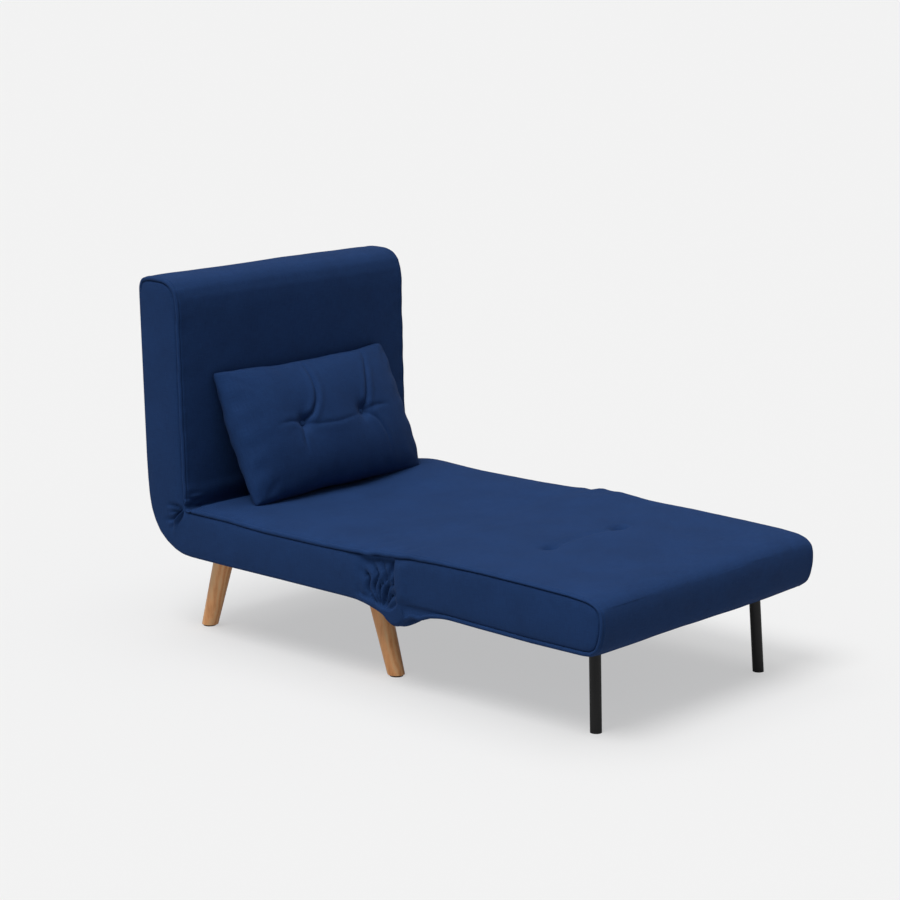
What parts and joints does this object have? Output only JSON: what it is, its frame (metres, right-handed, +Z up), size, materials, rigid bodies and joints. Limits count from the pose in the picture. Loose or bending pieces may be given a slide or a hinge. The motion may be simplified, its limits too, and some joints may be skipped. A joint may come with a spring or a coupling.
{
  "type": "futon sofa bed",
  "caption": "Single futon sofa bed with a folding foot section on steel legs, a reclining back, splayed wooden legs and a loose pillow.",
  "frame": {"origin": "on the floor, under the centre of the whole sofa bed's plan", "axes": "+X across the width, +Y from the foot end to the back, +Z up"},
  "size_m": [0.75, 1.3685, 0.8392],
  "materials": {
    "cover_fabric": "woven, slightly slubbed",
    "foam": "foam pad",
    "frame_steel": "powder coated, satin",
    "hinge_steel": "zinc plated",
    "slat_wood": "birch plywood",
    "leg_wood": "oiled oak, satin",
    "leg_steel": "matt black powder coat",
    "black_plastic": "matt moulded"
  },
  "bodies": {
    "seat": {"seat_rail_left": "frame_steel", "seat_rail_right": "frame_steel", "seat_cross_front": "frame_steel", "seat_cross_middle": "frame_steel", "seat_cross_rear": "frame_steel", "seat_slats": "slat_wood", "seat_foam": "foam", "seat_under_pad": "foam", "seat_cover": "cover_fabric", "wooden_leg_front_left": "leg_wood", "wooden_leg_front_right": "leg_wood", "wooden_leg_rear_left": "leg_wood", "wooden_leg_rear_right": "leg_wood", "leg_glides": "black_plastic", "leg_plates": "hinge_steel", "leg_bolts": "hinge_steel", "front_hinge_plate_left": "hinge_steel", "front_hinge_plate_right": "hinge_steel", "rear_hinge_plate_left": "hinge_steel", "rear_hinge_plate_right": "hinge_steel", "front_hinge_pins": "hinge_steel", "rear_hinge_pins": "hinge_steel", "seat_rivets": "hinge_steel"},
    "foot": {"foot_rail_left": "frame_steel", "foot_rail_right": "frame_steel", "foot_cross_inner": "frame_steel", "foot_cross_middle": "frame_steel", "foot_cross_end": "frame_steel", "foot_slats": "slat_wood", "foot_foam": "foam", "foot_under_pad": "foam", "foot_cover": "cover_fabric", "foot_tuft_buttons": "cover_fabric", "front_hinge_arm_left": "hinge_steel", "front_hinge_arm_right": "hinge_steel", "front_pawls": "frame_steel", "foot_rivets": "hinge_steel", "support_pivot_bolts": "hinge_steel"},
    "back": {"back_rail_left": "frame_steel", "back_rail_right": "frame_steel", "back_cross_lower": "frame_steel", "back_cross_middle": "frame_steel", "back_cross_upper": "frame_steel", "back_slats": "slat_wood", "back_foam": "foam", "back_rear_pad": "foam", "back_cover": "cover_fabric", "rear_hinge_arm_left": "hinge_steel", "rear_hinge_arm_right": "hinge_steel", "rear_pawls": "frame_steel", "back_rivets": "hinge_steel"},
    "support_leg": {"support_cross_tube": "leg_steel", "support_leg_left": "leg_steel", "support_leg_right": "leg_steel", "support_leg_caps": "black_plastic", "support_bushes": "black_plastic"},
    "pillow": {"pillow": "cover_fabric", "pillow_buttons": "cover_fabric"}
  },
  "joints": [
    {"name": "foot_fold", "type": "hinge", "parent": "seat", "child": "foot", "pos_m": [0, -0.08955, 0.3], "axis": [-1, 0, 0], "range_deg": [0, 179.9]},
    {"name": "back_recline", "type": "hinge", "parent": "seat", "child": "back", "pos_m": [0, 0.56045, 0.3], "axis": [-1, 0, 0], "range_deg": [0, 88.5]},
    {"name": "support_leg_fold", "type": "hinge", "parent": "foot", "child": "support_leg", "pos_m": [0, -0.59205, 0.237], "axis": [1, 0, 0], "range_deg": [0, 93.5]},
    {"name": "pillow_lift", "type": "slide", "parent": "seat", "child": "pillow", "axis": [0, 0.0262, 0.9997], "range_m": [0, 0.4601]}
  ],
  "couplings": [
    {"joint": "pillow_lift", "follows": "foot_fold", "m_per_rad": 0.1465}
  ]
}
